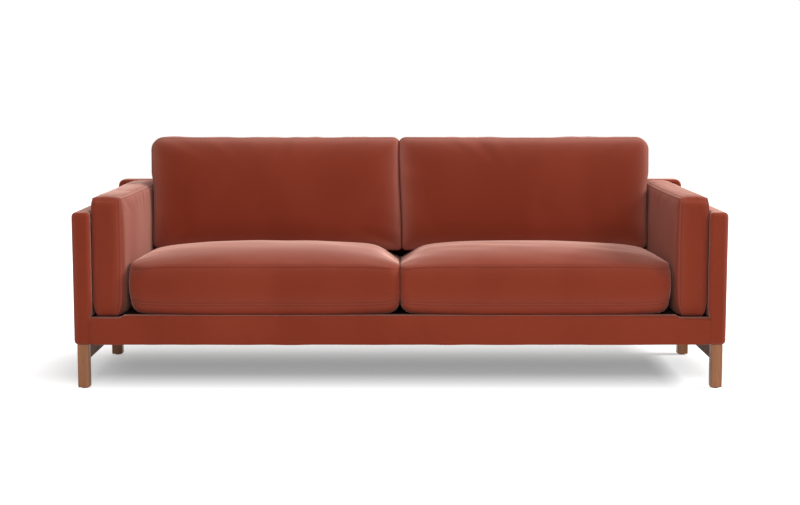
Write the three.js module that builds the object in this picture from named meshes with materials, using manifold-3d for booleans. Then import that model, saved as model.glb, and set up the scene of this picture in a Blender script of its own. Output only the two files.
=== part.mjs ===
// A two-seat tuxedo sofa in millimetres, +Z up, front towards -Y, its right side towards +X.
// It is built as a real one comes apart: a timber seat box with woven webbing, two padded arm
// units and a raked padded back unit bolted to it, a leg frame under each arm, and six loose
// box cushions. The origin is on the floor, in the middle of the sofa's width and depth.

import * as THREE from "three";
import { mergeVertices } from "three/addons/utils/BufferGeometryUtils.js";
import Module from "manifold-3d";

const wasm = await Module();
wasm.setup();

// Overall sizes.
const overallWidth = 2180;
const overallDepth = 960;
const frameBottom = 150; // height of the upholstered frame's lower edge
const armTop = 594;
const backTop = 642;
const backRake = THREE.MathUtils.degToRad(8);
const clearance = 0.3; // between pieces that touch
const overrun = 5; // how far a cutting solid runs past what it cuts
const weldDistance = 0.0001; // corners nearer than this are one corner

// Padded layers of the arm and back units.
const armThickness = 54;
const backThickness = 80; // measured level, front to back
const coverThickness = 2.4;
const foamThickness = 13;
const edgeRound = 13; // along the edges of a padded unit
const armCornerRound = 17; // the arm's front corners, seen from the side
const backCornerRound = 24; // the back's corners, seen from the front

// Seat box.
const railTop = 248; // what the cushions rest on
const railBoard = 28;
const railPadding = 14; // padded cover in front of the front rail
const railPadTop = 8; // and on top of it
const railCoverDepth = 46;
const railTopRound = 11;
const railFootRound = 8;
const centreRailTop = 205;
const centreRailBoard = 32;
const cornerBlockSide = 58;
const cornerBlockHeight = 50;
const dustCoverThickness = 1;
const tenonLength = 12;
const tenonThickness = 12;
const tenonShoulder = 12; // what a tenon is shorter than its rail, above and below

// Elastic webbing: runs go front to back, and the cross straps weave through them.
const webbingWidth = 62;
const webbingThickness = 2.5;
const webbingRuns = 6;
const webbingEdge = 184; // from a seat box end to the middle of the outermost run
const crossStrapShares = [0.35, 0.7]; // of the seat box's depth

// Ladder frame inside the back.
const ladderRailHeight = 62;
const ladderPostWidth = 44;
const ladderTenonLength = 22;
const ladderTenonShoulder = 10;

// Plywood arm cores, with a row of windows each.
const armWindows = 3;
const armRim = 66;
const armSill = 96;
const armWindowRound = 24;

// Leg frames.
const legSide = 38;
const legInset = 8.5;
const legSetback = 12;
const rearLegGap = 143; // from the back unit's foot forwards to a rear leg
const legCornerRound = 3;
const legEndRound = 1.5;
const stretcherHeight = 50;
const stretcherThickness = 22;
const legTenonLength = 14;
const legTenonThickness = 10;
const legTenonHeight = 28;
const glideHeight = 4;
const glideRadius = 11;
const studRadius = 4;
const studInLeg = 34;
const studInFrame = 38;

// Bolts that hold the arm and back units to the seat box.
const boltRadius = 4;
const boltHeadRadius = 7;
const boltHeadHeight = 5.5;
const boltHeight = 192;
const armBoltInset = 90; // from the ends of a side rail
const armBoltGrip = 16; // how far an arm bolt runs into its core
const backBoltPlace = 620;
const backBoltGrip = 30;

// Seat cushions.
const seatFront = 16; // the front seams, behind the frame's front face
const seatSideGap = 8; // between a seat cushion's bulge and an arm cushion
const seatMiddleGap = 6.5;
const seatSeamTop = 415;
const seatSeamBottom = 285;
const seatCrown = 43;
const seatUnderCrown = 70; // before the deck flattens it
const seatUnderSteepness = 0.5; // below 1 it fills out sooner, as far as the deck
const seatBulge = 9;
const seatCorner = 44;
const seatRearDrop = 16; // how far the seat slopes down to its rear seam
const seatBackGap = 4;
const seatTuck = 14;

// Back cushions.
const backCushionTop = 810;
const backCushionSideGap = 2;
const backCushionMiddleGap = 3;
const backCushionBoxing = 225;
const backCushionCrown = 46;
const backCushionRearCrown = 26;
const backCushionBulge = 5;
const backCushionCorner = 48;
const backCushionBackGap = 3;
const backCushionTuck = 12;

// Arm cushions.
const armCushionFront = 44;
const armCushionTop = 645;
const armCushionThickness = 105;
const armCushionCrown = 8;
const armCushionOuterCrown = 4;
const armCushionBulge = 4;
const armCushionCorner = 26;
const armCushionSideGap = 5; // between the outer seam and the arm
const armCushionTuck = 9;

// All cushions.
const seamDraw = 3; // how far the seams are drawn in, halfway along a side
const crownPower = 2.6; // higher is flatter on top
const crownFall = 0.62; // lower is steeper at the seams
const tuckReach = 8; // higher keeps a tuck closer to its corner
const cushionCells = [14, 12, 4]; // along, across and through a cushion

const legWood = new THREE.MeshStandardMaterial({ color: 0x8d5c40, roughness: 0.5 });
const timber = new THREE.MeshStandardMaterial({ color: 0xc9a878, roughness: 0.8 });
const plywood = new THREE.MeshStandardMaterial({ color: 0xd2b58a, roughness: 0.8 });
const velvet = new THREE.MeshStandardMaterial({ color: 0x8a3a2d, roughness: 0.9 });
const foam = new THREE.MeshStandardMaterial({ color: 0xe8dfc2, roughness: 1 });
const webbing = new THREE.MeshStandardMaterial({ color: 0x2d2a28, roughness: 0.9 });
const deckCloth = new THREE.MeshStandardMaterial({ color: 0x6e2c22, roughness: 0.95 });
const dustCloth = new THREE.MeshStandardMaterial({ color: 0x1c1b1b, roughness: 1 });
const steel = new THREE.MeshStandardMaterial({ color: 0x9a9b9e, roughness: 0.35, metalness: 0.9 });
const nylon = new THREE.MeshStandardMaterial({ color: 0x3a2a20, roughness: 0.6 });

// Everything below is placed by its distance behind the frame's front face.
const fromFront = new THREE.Group();

function add(name, geometry, material) {
  const mesh = new THREE.Mesh(geometry, material);
  mesh.name = name;
  fromFront.add(mesh);
}

// A geometry's bare surface, with one vertex at each corner.
function welded(geometry) {
  const bare = geometry.clone();
  bare.deleteAttribute("normal");
  bare.deleteAttribute("uv");
  return mergeVertices(bare, weldDistance);
}

function solidOf(geometry) {
  const surface = welded(geometry);
  return new wasm.Manifold(
    new wasm.Mesh({
      numProp: 3,
      vertProperties: new Float32Array(surface.attributes.position.array),
      triVerts: new Uint32Array(surface.index.array),
    }),
  );
}

function geometryOf(solid) {
  const mesh = solid.getMesh();
  const geometry = new THREE.BufferGeometry();
  geometry.setAttribute("position", new THREE.BufferAttribute(new Float32Array(mesh.vertProperties), 3));
  geometry.setIndex(new THREE.BufferAttribute(new Uint32Array(mesh.triVerts), 1));
  geometry.computeVertexNormals();
  return geometry;
}

function cut(geometry, tools) {
  let solid = solidOf(geometry);
  for (const tool of tools) solid = solid.subtract(solidOf(tool));
  return geometryOf(solid);
}

function join(first, second) {
  return geometryOf(solidOf(first).add(solidOf(second)));
}

// Adds a piece to both sides of the sofa, from the right side's geometry.
function addPair(name, geometry, material) {
  add(`${name}_right`, geometry, material);
  const other = welded(geometry).scale(-1, 1, 1);
  other.setIndex([...other.index.array].reverse());
  other.computeVertexNormals();
  add(`${name}_left`, other, material);
}

// A block between its low and high corners.
function block(low, high) {
  const size = high.map((value, i) => value - low[i]);
  const middle = high.map((value, i) => (value + low[i]) / 2);
  return new THREE.BoxGeometry(...size).translate(...middle);
}

// A round rod between two points, or a hexagonal one with six sides.
function rod(radius, start, end, sides = 16) {
  const from = new THREE.Vector3(...start);
  const along = new THREE.Vector3(...end).sub(from);
  const turn = new THREE.Quaternion();
  turn.setFromUnitVectors(new THREE.Vector3(0, 1, 0), along.clone().normalize());
  return new THREE.CylinderGeometry(radius, radius, along.length(), sides)
    .applyQuaternion(turn)
    .translate(...from.addScaledVector(along, 1 / 2));
}

// An outline through anticlockwise points, each corner rounded by an arc of its own radius.
function roundedShape(points, radii) {
  const shape = new THREE.Shape();
  points.forEach(([x, y], i) => {
    const corner = new THREE.Vector2(x, y);
    const before = new THREE.Vector2(...points.at(i - 1)).sub(corner).normalize();
    const after = new THREE.Vector2(...points[(i + 1) % points.length]).sub(corner).normalize();
    const halfAngle = Math.acos(before.dot(after)) / 2;
    const inwards = before.clone().add(after).normalize();
    const centre = corner.clone().addScaledVector(inwards, radii[i] / Math.sin(halfAngle));
    const reach = radii[i] / Math.tan(halfAngle);
    const start = corner.clone().addScaledVector(before, reach).sub(centre).angle();
    const end = corner.clone().addScaledVector(after, reach).sub(centre).angle();
    if (radii[i] > 0) shape.absarc(centre.x, centre.y, radii[i], start, end, false);
    else if (i === 0) shape.moveTo(x, y);
    else shape.lineTo(x, y);
  });
  shape.closePath();
  return shape;
}

// An outline carried through a thickness, with the edges of both faces rounded.
function slab(shape, thickness, round = 0, steps = 3) {
  return new THREE.ExtrudeGeometry(shape, {
    depth: thickness - 2 * round,
    bevelEnabled: round > 0,
    bevelThickness: round,
    bevelSize: round,
    bevelOffset: -round,
    bevelSegments: steps,
    curveSegments: 2,
  }).translate(0, 0, round);
}

// Turns that stand a slab up: one drawn as depth and height is carried along X, and one drawn
// as width and height, the same on both sides, is carried along Y.
const axisX = new THREE.Vector3(1, 0, 0);
const axisY = new THREE.Vector3(0, 1, 0);
const axisZ = new THREE.Vector3(0, 0, 1);
const carryAlongX = new THREE.Matrix4().makeBasis(axisY, axisZ, axisX);
const carryAlongY = new THREE.Matrix4().makeBasis(axisX.clone().negate(), axisZ, axisY);

// The back unit's front plane leans back. This is its depth at a height.
const rakeSlope = Math.tan(backRake);
const backFoot = overallDepth - backThickness - (backTop - frameBottom) * rakeSlope;
const backPlane = (height) => backFoot + (height - frameBottom) * rakeSlope;

// Leans an upright geometry back with the back unit.
function rake(geometry) {
  const lean = new THREE.Matrix4().makeShear(0, 0, 0, 0, 0, rakeSlope);
  return geometry.translate(0, 0, -frameBottom).applyMatrix4(lean).translate(0, 0, frameBottom);
}

const halfWidth = overallWidth / 2;
const armInner = halfWidth - armThickness;
const boxHalf = armInner - clearance;
const coreInset = coverThickness + foamThickness + 2 * clearance; // from a padded face to its core
const hollowInset = coreInset - clearance;
const legX = halfWidth - legInset - legSide / 2;
const legPlaces = { front: legSetback + legSide / 2, rear: backFoot - rearLegGap - legSide / 2 };
const frontRailRear = railPadding + clearance + railBoard;
const sideRailFront = frontRailRear + clearance;
const rearRailFront = backFoot - clearance - railBoard;
const sideRailRear = rearRailFront - clearance;
const sideRailInner = boxHalf - railBoard;
const armCushionOuter = armInner - armCushionSideGap;
const armCushionInner = armCushionOuter - armCushionThickness;

// Arm units: a plywood core with windows, wrapped in foam, in a padded velvet cover that is turned
// under as far as the core. Their rear edges follow the raked back.
function armSlab(inset, bottom, cornerRound, round) {
  const top = armTop - inset;
  const rear = (height) => backPlane(height) - clearance - inset;
  const points = [[inset, bottom], [rear(bottom), bottom], [rear(top), top], [inset, top]];
  const shape = roundedShape(points, [cornerRound, 0, 0, cornerRound]);
  return { shape, round, thickness: armThickness - 2 * inset, start: armInner + inset };
}

function stand({ shape, round, thickness, start }) {
  return slab(shape, thickness, round).applyMatrix4(carryAlongX).translate(start, 0, 0);
}

function armCore() {
  const core = armSlab(coreInset, frameBottom, 0, 0);
  const room = backPlane(frameBottom) - clearance - 2 * coreInset - armRim * (armWindows + 1);
  const width = room / armWindows;
  const low = frameBottom + armSill;
  const high = armTop - coreInset - armRim;
  for (let i = 0; i < armWindows; i += 1) {
    const start = coreInset + armRim + i * (width + armRim);
    const points = [[start, low], [start + width, low], [start + width, high], [start, high]];
    core.shape.holes.push(roundedShape(points, points.map(() => armWindowRound)));
  }
  return stand(core);
}

const armBoltPlaces = [sideRailFront + armBoltInset, sideRailRear - armBoltInset];
const armBoltTip = armInner + coreInset + armBoltGrip;
const armBoltHoles = armBoltPlaces.map((place) =>
  rod(
    boltRadius + clearance,
    [sideRailInner - overrun, place, boltHeight],
    [armBoltTip + clearance, place, boltHeight],
  ),
);
const studTop = frameBottom + studInFrame;
const studHoles = Object.values(legPlaces).map((place) =>
  rod(studRadius + clearance, [legX, place, frameBottom - overrun], [legX, place, studTop + clearance]),
);

const foamInset = coverThickness + clearance;
const armLayer = (inset) =>
  stand(armSlab(inset, frameBottom + inset, armCornerRound - inset, edgeRound - inset));
const armHollow = stand(armSlab(hollowInset, frameBottom - overrun, 0, 0));
addPair("arm_cover", cut(armLayer(0), [armLayer(coverThickness), armHollow, ...armBoltHoles]), velvet);
addPair("arm_foam", cut(armLayer(foamInset), [armHollow, ...armBoltHoles]), foam);
addPair("arm_core", cut(armCore(), [...armBoltHoles, ...studHoles]), plywood);

// The back unit is made upright and then raked: a ladder frame wrapped in foam, in a padded
// velvet cover that is turned under as far as the ladder.
function backSlab(inset, bottom, cornerRound, round) {
  const half = halfWidth - inset;
  const top = backTop - inset;
  const points = [[-half, bottom], [half, bottom], [half, top], [-half, top]];
  const shape = roundedShape(points, points.map(() => cornerRound));
  const upright = slab(shape, backThickness - 2 * inset, round).applyMatrix4(carryAlongY);
  return upright.translate(0, backFoot + inset, 0);
}

const ladderHalf = halfWidth - coreInset;
const ladderFront = backFoot + coreInset;
const ladderRear = backFoot + backThickness - coreInset;
const topRailLow = backTop - coreInset - ladderRailHeight;
const postLow = frameBottom + ladderRailHeight + clearance;
const postHigh = topRailLow - clearance;
const postPlaces = {
  left: ladderPostWidth / 2 - ladderHalf,
  centre: 0,
  right: ladderHalf - ladderPostWidth / 2,
};

function postTenon(place, slack) {
  const half = ladderPostWidth / 2 - ladderTenonShoulder + slack;
  const reach = ladderTenonLength + slack;
  return block(
    [place - half, ladderFront + ladderTenonShoulder - slack, postLow - reach],
    [place + half, ladderRear - ladderTenonShoulder + slack, postHigh + reach],
  );
}

// The bolts run level, so they cross the raked unit at their own height.
const backBoltTip = backPlane(boltHeight) + coreInset + backBoltGrip;
const backBoltHoles = [-backBoltPlace, backBoltPlace].map((place) =>
  rod(
    boltRadius + clearance,
    [place, rearRailFront - overrun, boltHeight],
    [place, backBoltTip + clearance, boltHeight],
  ),
);

const backLayer = (inset) =>
  backSlab(inset, frameBottom + inset, backCornerRound - inset, edgeRound - inset);
const ladderHollow = backSlab(hollowInset, frameBottom - overrun, 0, 0);
const backShell = cut(backLayer(0), [backLayer(coverThickness), ladderHollow]);
add("back_cover", cut(rake(backShell), backBoltHoles), velvet);
add("back_foam", cut(rake(cut(backLayer(foamInset), [ladderHollow])), backBoltHoles), foam);

const mortices = Object.values(postPlaces).map((place) => postTenon(place, clearance));
const bottomRail = block(
  [-ladderHalf, ladderFront, frameBottom],
  [ladderHalf, ladderRear, frameBottom + ladderRailHeight],
);
add("back_bottom_rail", cut(rake(cut(bottomRail, mortices)), backBoltHoles), timber);
const topRail = block([-ladderHalf, ladderFront, topRailLow], [ladderHalf, ladderRear, backTop - coreInset]);
add("back_top_rail", rake(cut(topRail, mortices)), timber);
for (const [name, place] of Object.entries(postPlaces)) {
  const post = block(
    [place - ladderPostWidth / 2, ladderFront, postLow],
    [place + ladderPostWidth / 2, ladderRear, postHigh],
  );
  add(`back_post_${name}`, rake(join(post, postTenon(place, 0))), timber);
}

// The seat box, from its top down: deck, webbing, rails, dust cover.
const webbingLow = railTop - railPadTop - clearance - webbingThickness;
const boxTop = webbingLow - clearance;
const weave = webbingThickness + clearance;
const deckLow = webbingLow + 2 * weave;

// The front rail's cover is an angle of padding, seen from the side, that hangs over the rail.
const railCoverPoints = [
  [0, frameBottom],
  [railCoverDepth, frameBottom],
  [railCoverDepth, railTop],
  [0, railTop],
];
const railCover = slab(roundedShape(railCoverPoints, [railFootRound, 0, 0, railTopRound]), 2 * boxHalf)
  .applyMatrix4(carryAlongX)
  .translate(-boxHalf, 0, 0);
const railHollow = block(
  [-halfWidth, railPadding, frameBottom - overrun],
  [halfWidth, railCoverDepth + overrun, railTop - railPadTop],
);
add("front_rail_cover", cut(railCover, [railHollow]), velvet);

// A rail between the front and the rear rail, tenoned into both. It stands at a place along X.
function betweenRails(place, board, top, slack) {
  const rail = block(
    [place - board / 2, sideRailFront, frameBottom],
    [place + board / 2, sideRailRear, top],
  );
  const half = tenonThickness / 2 + slack;
  const tenon = block(
    [place - half, sideRailFront - tenonLength - slack, frameBottom + tenonShoulder - slack],
    [place + half, sideRailRear + tenonLength + slack, top - tenonShoulder + slack],
  );
  return { rail, tenon };
}

const sideRailMiddle = boxHalf - railBoard / 2;
const railMortices = [
  betweenRails(-sideRailMiddle, railBoard, boxTop, clearance).tenon,
  betweenRails(0, centreRailBoard, centreRailTop, clearance).tenon,
  betweenRails(sideRailMiddle, railBoard, boxTop, clearance).tenon,
];
const frontRail = block([-boxHalf, railPadding + clearance, frameBottom], [boxHalf, frontRailRear, boxTop]);
add("front_rail", cut(frontRail, railMortices), timber);

// The rear rail's back face leans with the back unit that it is bolted to.
const rearRailPoints = [
  [rearRailFront, frameBottom],
  [backPlane(frameBottom) - clearance, frameBottom],
  [backPlane(boxTop) - clearance, boxTop],
  [rearRailFront, boxTop],
];
const rearRail = slab(roundedShape(rearRailPoints, rearRailPoints.map(() => 0)), 2 * boxHalf)
  .applyMatrix4(carryAlongX)
  .translate(-boxHalf, 0, 0);
add("rear_rail", cut(rearRail, [...railMortices, ...backBoltHoles]), timber);
const centre = betweenRails(0, centreRailBoard, centreRailTop, 0);
add("centre_rail", join(centre.rail, centre.tenon), timber);
const side = betweenRails(sideRailMiddle, railBoard, boxTop, 0);
addPair("side_rail", cut(join(side.rail, side.tenon), armBoltHoles), timber);

for (const [name, near, step] of [["front", sideRailFront, 1], ["rear", sideRailRear, -1]]) {
  const inner = sideRailInner - clearance;
  const points = [[inner, near], [inner, near + step * cornerBlockSide], [inner - cornerBlockSide, near]];
  const triangle = new THREE.Shape(points.map((point) => new THREE.Vector2(...point)));
  addPair(`corner_block_${name}`, slab(triangle, cornerBlockHeight).translate(0, 0, frameBottom), timber);
}

// Hexagon-headed bolts. Each head bears on the inner face of its rail.
function bolt(head, bearing, tip) {
  return join(rod(boltRadius, bearing, tip), rod(boltHeadRadius, head, bearing, 6));
}

armBoltPlaces.forEach((place, i) => {
  const bearing = sideRailInner - clearance;
  const armBolt = bolt(
    [bearing - boltHeadHeight, place, boltHeight],
    [bearing, place, boltHeight],
    [armBoltTip, place, boltHeight],
  );
  addPair(`arm_bolt_${i + 1}`, armBolt, steel);
});
const backBolt = bolt(
  [backBoltPlace, sideRailRear - boltHeadHeight, boltHeight],
  [backBoltPlace, sideRailRear, boltHeight],
  [backBoltPlace, backBoltTip, boltHeight],
);
addPair("back_bolt", backBolt, steel);

const runHalf = boxHalf - webbingEdge;
const runPlaces = Array.from({ length: webbingRuns }, (_, i) => runHalf * ((2 * i) / (webbingRuns - 1) - 1));
runPlaces.forEach((place, i) => {
  const run = block(
    [place - webbingWidth / 2, railPadding + clearance, webbingLow],
    [place + webbingWidth / 2, backPlane(webbingLow) - clearance, webbingLow + webbingThickness],
  );
  add(`webbing_run_${i + 1}`, run, webbing);
});

// Each cross strap goes over one run and under the next, and the two straps take turns.
crossStrapShares.forEach((share, strap) => {
  const underside = [[-boxHalf, webbingLow], [-sideRailInner, webbingLow]];
  runPlaces.forEach((run, i) => {
    const height = webbingLow + ((i + strap) % 2 ? -weave : weave);
    const half = webbingWidth / 2 + weave;
    underside.push([run - half, height], [run + half, height]);
  });
  underside.push([sideRailInner, webbingLow], [boxHalf, webbingLow]);
  const topside = underside.map(([x, height]) => [x, height + webbingThickness]).reverse();
  const shape = new THREE.Shape([...underside, ...topside].map((point) => new THREE.Vector2(...point)));
  const ribbon = slab(shape, webbingWidth).applyMatrix4(carryAlongY);
  const place = THREE.MathUtils.lerp(sideRailFront, sideRailRear, share);
  add(`webbing_cross_${strap + 1}`, ribbon.translate(0, place - webbingWidth / 2, 0), webbing);
});

const deck = block(
  [-boxHalf, railCoverDepth + clearance, deckLow],
  [boxHalf, backPlane(deckLow) - clearance, railTop],
);
add("seat_deck", deck, deckCloth);
const dustCover = block(
  [-boxHalf, railPadding + clearance, frameBottom - clearance - dustCoverThickness],
  [boxHalf, backFoot - clearance, frameBottom - clearance],
);
add("dust_cover", dustCover, dustCloth);

// Leg frames: two square legs tenoned to a side stretcher, each leg on a glide and held to the
// arm core by a stud.
const legHigh = frameBottom - clearance;
const legInner = legX - legSide / 2;
const stretcherMiddle = legHigh - stretcherHeight / 2;
const stretcherEnds = [legPlaces.front + legSide / 2, legPlaces.rear - legSide / 2];

function stretcherTenon(slack) {
  const halfThickness = legTenonThickness / 2 + slack;
  const halfHeight = legTenonHeight / 2 + slack;
  const middle = legInner + stretcherThickness / 2;
  const reach = legTenonLength + slack;
  return block(
    [middle - halfThickness, stretcherEnds[0] - reach, stretcherMiddle - halfHeight],
    [middle + halfThickness, stretcherEnds[1] + reach, stretcherMiddle + halfHeight],
  );
}

const legHalf = legSide / 2;
const legCorners = [[-legHalf, -legHalf], [legHalf, -legHalf], [legHalf, legHalf], [-legHalf, legHalf]];
const legShape = roundedShape(legCorners, legCorners.map(() => legCornerRound));
for (const [name, place] of Object.entries(legPlaces)) {
  const studFoot = legHigh - studInLeg;
  const post = slab(legShape, legHigh - glideHeight, legEndRound, 2).translate(legX, place, glideHeight);
  const studBore = rod(
    studRadius + clearance,
    [legX, place, studFoot - clearance],
    [legX, place, legHigh + overrun],
  );
  addPair(`leg_${name}`, cut(post, [stretcherTenon(clearance), studBore]), legWood);
  addPair(`leg_stud_${name}`, rod(studRadius, [legX, place, studFoot], [legX, place, studTop]), steel);
  const glide = rod(glideRadius, [legX, place, 0], [legX, place, glideHeight - clearance], 20);
  addPair(`glide_${name}`, glide, nylon);
}
const stretcher = block(
  [legInner, stretcherEnds[0] + clearance, legHigh - stretcherHeight],
  [legInner + stretcherThickness, stretcherEnds[1] - clearance, legHigh],
);
addPair("side_stretcher", join(stretcher, stretcherTenon(0)), legWood);

// Moves every vertex of a geometry by a rule that changes the point it is given.
function reshape(geometry, rule) {
  const points = geometry.attributes.position;
  const point = new THREE.Vector3();
  for (let i = 0; i < points.count; i += 1) {
    rule(point.fromBufferAttribute(points, i));
    points.setXYZ(i, point.x, point.y, point.z);
  }
  return geometry;
}

// How far a crown has risen, from 0 at a seam to 1 in the middle.
const rise = (share) => (1 - Math.abs(share) ** crownPower) ** crownFall;

// A box cushion drawn as an outline in X and Y with its thickness along Z. It is a unit cube whose
// cells crowd towards its edges. The cube's sides become the boxing, which bulges between the two
// seams, and its top and bottom become the crowns. Near a corner the seams are tucked towards each
// other. A cushion that stands on edge is flat below.
function boxCushion({
  halfX, halfY, corner, lowSeam, highSeam, lowCrown, highCrown, bulge, tuck,
  lowSteepness = 1, onEdge = false,
}) {
  const straight = new THREE.Vector2(halfX - corner, halfY - corner);
  const crowded = (share) => Math.sin(share * Math.PI);
  return reshape(new THREE.BoxGeometry(1, 1, 1, ...cushionCells), (point) => {
    const [u, v, w] = [crowded(point.x), crowded(point.y), crowded(point.z)];
    const reach = Math.max(Math.abs(u), Math.abs(v));
    const [edgeU, edgeV] = reach > 0 ? [u / reach, v / reach] : [0, 0];
    const edge = new THREE.Vector2(edgeU * halfX, edgeV * halfY);
    const inner = edge.clone().clamp(straight.clone().negate(), straight);
    const outwards = edge.clone().sub(inner).normalize();
    const halfway = Math.abs(outwards.x) * (1 - edgeV ** 2) + Math.abs(outwards.y) * (1 - edgeU ** 2);
    const free = onEdge ? 1 - Math.max(-outwards.y, 0) : 1;
    const push = free * halfway * (bulge * (1 - w ** 2) - seamDraw);
    const place = inner.addScaledVector(outwards, corner + push).multiplyScalar(reach);
    const risen = rise(u) * rise(v);
    const crown = w > 0 ? highCrown * risen : -lowCrown * risen ** lowSteepness;
    const tucked = w * tuck * Math.abs(u * v) ** tuckReach;
    point.set(place.x, place.y, THREE.MathUtils.lerp(lowSeam, highSeam, (1 + w) / 2) + crown - tucked);
  });
}

// A closed form grown outwards by an amount on each side.
function grown(geometry, amount) {
  geometry.computeBoundingBox();
  const size = geometry.boundingBox.getSize(new THREE.Vector3());
  const middle = geometry.boundingBox.getCenter(new THREE.Vector3());
  const factors = size.toArray().map((length) => (length + 2 * amount) / length);
  return geometry
    .clone()
    .translate(...middle.clone().negate())
    .scale(...factors)
    .translate(...middle);
}

// Back cushions stand on the rear of the seat cushions and lean on the back unit.
const seatRearTop = seatSeamTop - seatRearDrop;
const backCushionFoot = seatRearTop + clearance;
const backCushionRearSeam = backFoot - backCushionBackGap - backCushionRearCrown;
const backCushionSide = armCushionInner - armCushionCrown - backCushionSideGap - backCushionBulge;
const backCushionHalf = (backCushionSide - backCushionMiddleGap) / 2;
const backCushionHalfHeight = (backCushionTop - backCushionBulge + seamDraw - backCushionFoot) / 2;
const backCushion = boxCushion({
  halfX: backCushionHalf,
  halfY: backCushionHalfHeight,
  corner: backCushionCorner,
  lowSeam: backCushionRearSeam - backCushionBoxing,
  highSeam: backCushionRearSeam,
  lowCrown: backCushionCrown,
  highCrown: backCushionRearCrown,
  bulge: backCushionBulge,
  tuck: backCushionTuck,
  onEdge: true,
})
  .applyMatrix4(carryAlongY)
  .translate(backCushionMiddleGap + backCushionHalf, 0, backCushionFoot + backCushionHalfHeight);
addPair("back_cushion", rake(backCushion.clone()), velvet);

// Seat cushions lie on the deck, which flattens them below, and the back cushions press into them.
const seatRear = backPlane(railTop) - seatBackGap - seatBulge;
const seatSide = armCushionInner - armCushionCrown - seatSideGap - seatBulge;
const seatHalf = (seatSide - seatMiddleGap) / 2;
const seatHalfDepth = (seatRear - seatFront) / 2;
const seatCushion = boxCushion({
  halfX: seatHalf,
  halfY: seatHalfDepth,
  corner: seatCorner,
  lowSeam: seatSeamBottom,
  highSeam: seatSeamTop,
  lowCrown: seatUnderCrown,
  highCrown: seatCrown,
  bulge: seatBulge,
  tuck: seatTuck,
  lowSteepness: seatUnderSteepness,
}).translate(seatMiddleGap + seatHalf, seatFront + seatHalfDepth, 0);
reshape(seatCushion, (point) => {
  const back = THREE.MathUtils.clamp((point.y - seatFront) / (seatRear - seatFront), 0, 1);
  const drop = (seatRearDrop * back) / (seatSeamTop - seatSeamBottom);
  if (point.z > seatSeamBottom) point.z -= (point.z - seatSeamBottom) * drop;
  point.z = Math.max(point.z, railTop + clearance);
});
addPair("seat_cushion", cut(seatCushion, [rake(grown(backCushion, clearance))]), velvet);

// Arm cushions stand on the deck inside each arm, and their rear ends lean with the back unit.
const armCushionFoot = railTop + clearance;
const armCushionRear = backPlane(armCushionFoot) - seatBackGap - armCushionBulge;
const armCushionHalfLength = (armCushionRear - armCushionFront) / 2;
const armCushionHalfHeight = (armCushionTop - armCushionBulge + seamDraw - armCushionFoot) / 2;
const armCushion = boxCushion({
  halfX: armCushionHalfLength,
  halfY: armCushionHalfHeight,
  corner: armCushionCorner,
  lowSeam: armCushionInner,
  highSeam: armCushionOuter,
  lowCrown: armCushionCrown,
  highCrown: armCushionOuterCrown,
  bulge: armCushionBulge,
  tuck: armCushionTuck,
  onEdge: true,
})
  .applyMatrix4(carryAlongX)
  .translate(0, armCushionFront + armCushionHalfLength, armCushionFoot + armCushionHalfHeight);
reshape(armCushion, (point) => {
  const back = THREE.MathUtils.clamp((point.y - armCushionFront) / (armCushionRear - armCushionFront), 0, 1);
  point.y += (point.z - armCushionFoot) * rakeSlope * back;
});
addPair("arm_cushion", armCushion, velvet);

// The origin goes to the middle of the finished depth.
const sofa = new THREE.Group();
fromFront.position.y = -new THREE.Box3().setFromObject(fromFront).getCenter(new THREE.Vector3()).y;
sofa.add(fromFront);

export default sofa;
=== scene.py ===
# A two-seat sofa in rust velvet: a padded timber frame, six loose box cushions and walnut legs.
# Metres, +Z up, the front towards -Y. Sizes that aren't written here are read off the frame.

import bpy
import numpy as np
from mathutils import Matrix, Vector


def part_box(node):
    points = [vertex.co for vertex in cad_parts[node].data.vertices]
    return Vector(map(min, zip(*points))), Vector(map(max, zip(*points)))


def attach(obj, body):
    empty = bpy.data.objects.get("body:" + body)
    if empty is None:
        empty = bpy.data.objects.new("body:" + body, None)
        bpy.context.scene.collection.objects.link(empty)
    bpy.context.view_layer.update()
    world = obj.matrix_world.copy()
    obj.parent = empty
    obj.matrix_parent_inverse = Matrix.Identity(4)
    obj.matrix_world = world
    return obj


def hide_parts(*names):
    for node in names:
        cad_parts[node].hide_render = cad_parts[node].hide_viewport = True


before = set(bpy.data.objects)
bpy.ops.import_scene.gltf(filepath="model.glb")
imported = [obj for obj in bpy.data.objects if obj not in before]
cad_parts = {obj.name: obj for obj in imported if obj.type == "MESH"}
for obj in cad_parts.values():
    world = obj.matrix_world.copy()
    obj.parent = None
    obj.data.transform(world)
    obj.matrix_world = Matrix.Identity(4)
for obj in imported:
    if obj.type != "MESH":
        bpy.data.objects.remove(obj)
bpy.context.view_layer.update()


# Legs and side stretchers
# Solid walnut, oiled to a satin finish. Two legs are tenoned to a stretcher on each side, so the
# grain runs up the legs and from front to back along the stretchers.
class Varying:
    """A shader value that varies over a surface. Arithmetic on it adds Math nodes."""

    def __init__(self, finish, socket):
        self.finish, self.socket = finish, socket

    def math(self, operation, *values):
        return self.finish.node("Math", {"operation": operation}, dict(enumerate(values)))

    def __add__(self, other):
        return self.math("ADD", self, other)

    def __sub__(self, other):
        return self.math("SUBTRACT", self, other)

    def __rsub__(self, other):
        return self.math("SUBTRACT", other, self)

    def __mul__(self, other):
        return self.math("MULTIPLY", self, other)

    def __pow__(self, other):
        return self.math("POWER", self, other)

    __radd__ = __add__
    __rmul__ = __mul__

    def between(self, low, high):
        """0 below low and 1 above high, with a smooth step between them."""
        settings = {"interpolation_type": "SMOOTHSTEP"}
        return self.finish.node("MapRange", settings, {0: self, 1: low, 2: high})


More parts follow.
